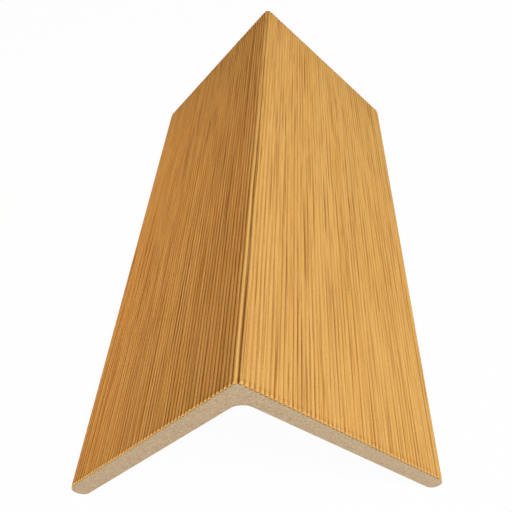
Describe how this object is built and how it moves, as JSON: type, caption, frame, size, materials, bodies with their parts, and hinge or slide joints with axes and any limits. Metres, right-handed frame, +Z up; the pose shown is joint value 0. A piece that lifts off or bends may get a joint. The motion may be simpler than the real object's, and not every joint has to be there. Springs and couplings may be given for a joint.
{
  "type": "corner trim",
  "caption": "Right-angle corner trim in wood-plastic composite with fine ribs along its outer faces, a rounded ridge and rounded edges, to cover the outer corner of cladding or decking.",
  "frame": {"origin": "on the floor under the middle of the ridge, level with the two leg tips that the trim stands on", "axes": "+Z up, from the open side of the angle to its ridge; +Y along the length; X across the two legs"},
  "size_m": [0.0684, 0.125, 0.037],
  "materials": {
    "composite": "extruded wood-plastic composite, golden teak grain on the ribbed outer faces, beige where it is sawn and inside"
  },
  "bodies": {
    "root": {"corner_trim": "composite"}
  },
  "joints": []
}
